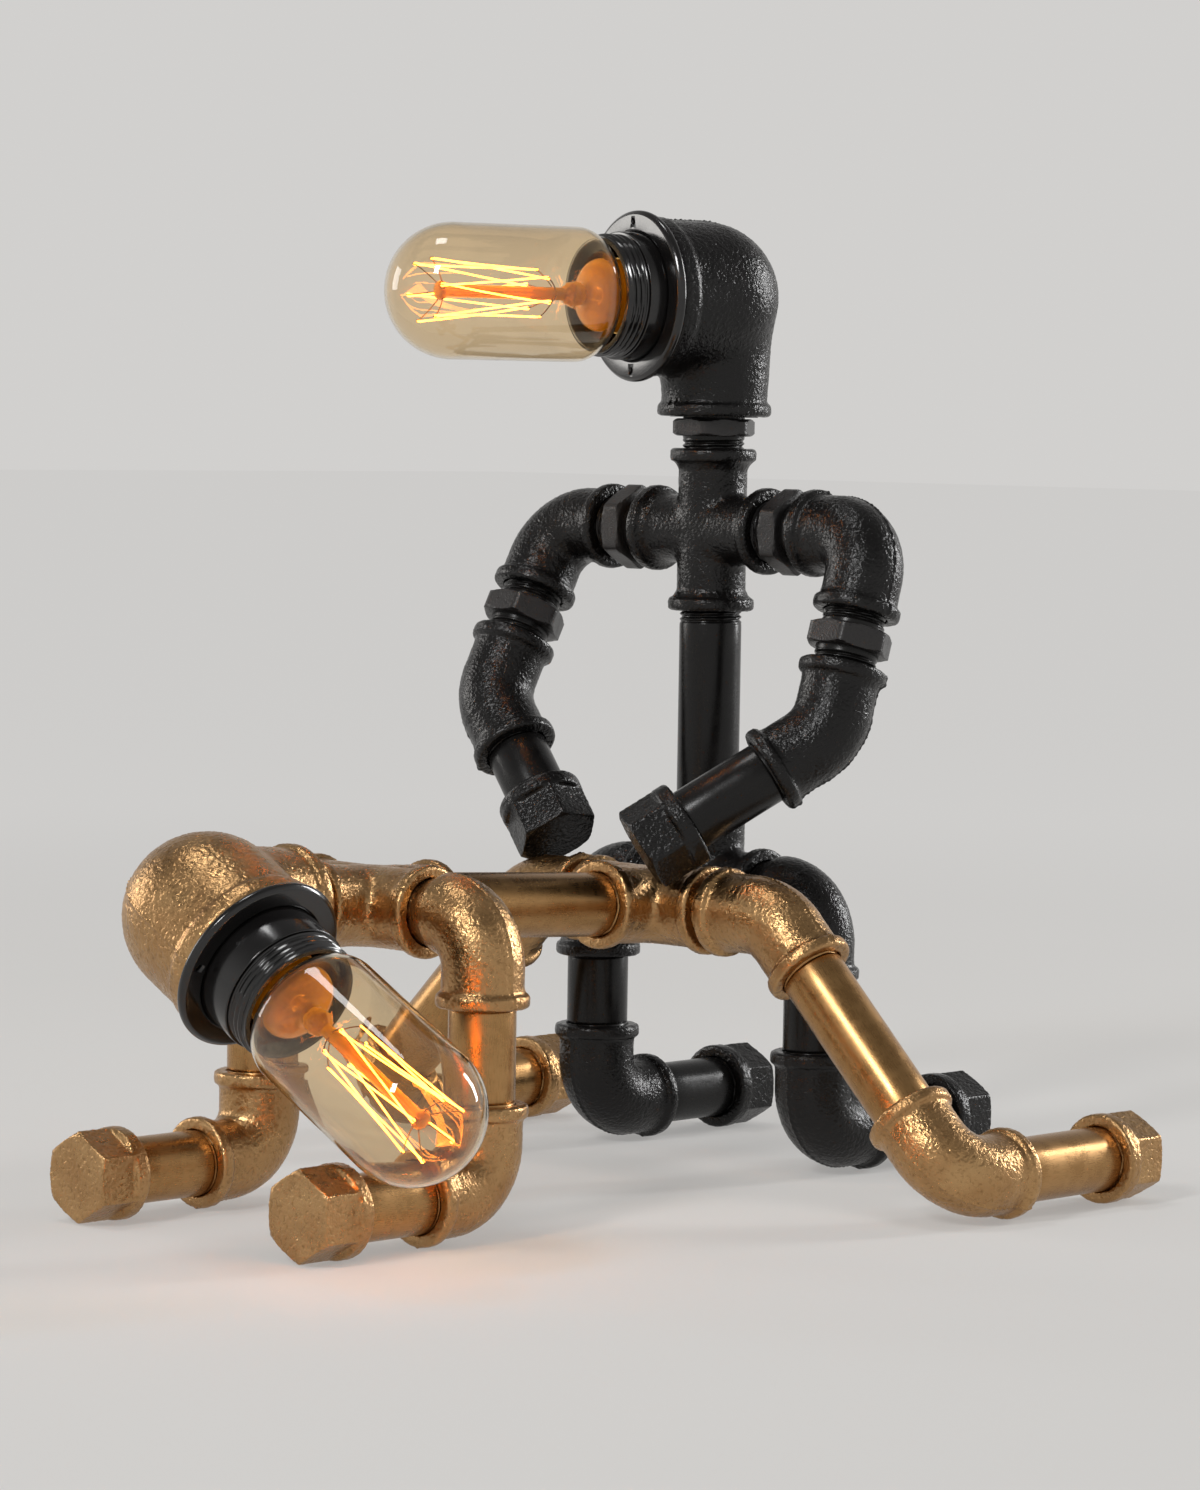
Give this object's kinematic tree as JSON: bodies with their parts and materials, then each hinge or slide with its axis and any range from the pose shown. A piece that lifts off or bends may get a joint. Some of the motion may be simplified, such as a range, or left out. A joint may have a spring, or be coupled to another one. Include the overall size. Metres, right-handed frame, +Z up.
{
  "type": "pipe fitting figure table lamp",
  "caption": "Industrial table lamp built of malleable pipe fittings: a black kneeling figure behind a gold crawling figure, each with a screw-socket filament bulb for its head.",
  "frame": {"origin": "on the ground under the middle of the pair's length and width", "axes": "+Z up; -X is the way both figures face; +X is towards their feet; -Y is the figures' left side"},
  "size_m": [0.3621, 0.2962, 0.326],
  "materials": {
    "black_cast": "black painted rough casting, satin",
    "black_pipe": "black painted steel pipe, satin",
    "gold_cast": "gold painted rough casting, bright",
    "gold_pipe": "brushed gold painted pipe, satin",
    "holder_black": "black phenolic, moulded",
    "holder_base": "pale glazed insulator",
    "contact_brass": "stamped sheet",
    "bulb_cap_brass": "rolled thread",
    "bulb_glass": "clear, light amber tint",
    "stem_glass": "clear pressed stem",
    "support_wire": "drawn wire",
    "filament": "glowing carbon filament"
  },
  "bodies": {
    "stand": {"black_cross": "black_cast", "black_torso_pipe": "black_pipe", "black_hip_tee": "black_cast", "black_hip_elbows": "black_cast", "black_thigh_nipples": "black_pipe", "black_knee_elbows": "black_cast", "black_shin_nipples": "black_pipe", "black_foot_caps": "black_cast", "black_left_shoulder_nipple": "black_cast", "black_right_shoulder_nipple": "black_cast", "black_neck_nipple": "black_cast", "gold_cross": "gold_cast", "gold_torso_pipe": "gold_pipe", "gold_hip_tee": "gold_cast", "gold_shoulder_elbows": "gold_cast", "gold_arm_nipples": "gold_pipe", "gold_wrist_elbows": "gold_cast", "gold_hand_nipples": "gold_pipe", "gold_hand_caps": "gold_cast", "gold_hip_nipples": "gold_pipe", "gold_hip_bends": "gold_cast", "gold_leg_pipes": "gold_pipe", "gold_ankle_elbows": "gold_cast", "gold_foot_nipples": "gold_pipe", "gold_foot_caps": "gold_cast", "gold_neck_nipple": "gold_pipe"},
    "black_head": {"black_head_elbow": "black_cast", "black_head_bush": "black_cast", "black_holder_ring": "holder_black", "black_holder_body": "holder_black", "black_holder_base": "holder_base", "black_screw_shell": "contact_brass", "black_contact": "contact_brass"},
    "black_bulb": {"black_bulb_cap": "bulb_cap_brass", "black_bulb_glass": "bulb_glass", "black_bulb_stem": "stem_glass", "black_bulb_supports": "support_wire", "black_bulb_filament": "filament"},
    "left_upper_arm": {"black_left_shoulder_elbow": "black_cast", "black_left_arm_nipple": "black_cast"},
    "left_forearm": {"black_left_bend": "black_cast", "black_left_forearm_nipple": "black_pipe", "black_left_hand_cap": "black_cast"},
    "right_upper_arm": {"black_right_shoulder_elbow": "black_cast", "black_right_arm_nipple": "black_cast"},
    "right_forearm": {"black_right_bend": "black_cast", "black_right_forearm_nipple": "black_pipe", "black_right_hand_cap": "black_cast"},
    "gold_head": {"gold_head_elbow": "gold_cast", "gold_head_bush": "gold_cast", "gold_holder_ring": "holder_black", "gold_holder_body": "holder_black", "gold_holder_base": "holder_base", "gold_screw_shell": "contact_brass", "gold_contact": "contact_brass"},
    "gold_bulb": {"gold_bulb_cap": "bulb_cap_brass", "gold_bulb_glass": "bulb_glass", "gold_bulb_stem": "stem_glass", "gold_bulb_supports": "support_wire", "gold_bulb_filament": "filament"}
  },
  "joints": [
    {"name": "black_head_swivel", "type": "hinge", "parent": "stand", "child": "black_head", "pos_m": [0.10059, 0.02, 0.29699], "axis": [0, 0, 1], "range_deg": [-120, 120]},
    {"name": "black_bulb_screw", "type": "slide", "parent": "black_head", "child": "black_bulb", "axis": [-0.9744, 0.225, 0], "range_m": [0, 0.027]},
    {"name": "left_shoulder", "type": "hinge", "parent": "stand", "child": "left_upper_arm", "pos_m": [0.10059, -0.053, 0.21799], "axis": [0, 1, 0], "range_deg": [0, 45]},
    {"name": "left_forearm_turn", "type": "hinge", "parent": "left_upper_arm", "child": "left_forearm", "pos_m": [0.07973, -0.053, 0.15222], "axis": [0.3024, 0, 0.9532], "range_deg": [0, 90]},
    {"name": "right_shoulder", "type": "hinge", "parent": "stand", "child": "right_upper_arm", "pos_m": [0.10059, 0.093, 0.21799], "axis": [0, 1, 0], "range_deg": [0, 45]},
    {"name": "right_forearm_turn", "type": "hinge", "parent": "right_upper_arm", "child": "right_forearm", "pos_m": [0.06777, 0.093, 0.15729], "axis": [-0.4756, 0, -0.8796], "range_deg": [0, 100]},
    {"name": "gold_head_swivel", "type": "hinge", "parent": "stand", "child": "gold_head", "pos_m": [-0.15159, 0, 0.1045], "axis": [-0.9984, 0, 0.0558], "range_deg": [-5, 110]},
    {"name": "gold_bulb_screw", "type": "slide", "parent": "gold_head", "child": "gold_bulb", "axis": [-0.0262, -0.8829, -0.4687], "range_m": [0, 0.027]}
  ]
}
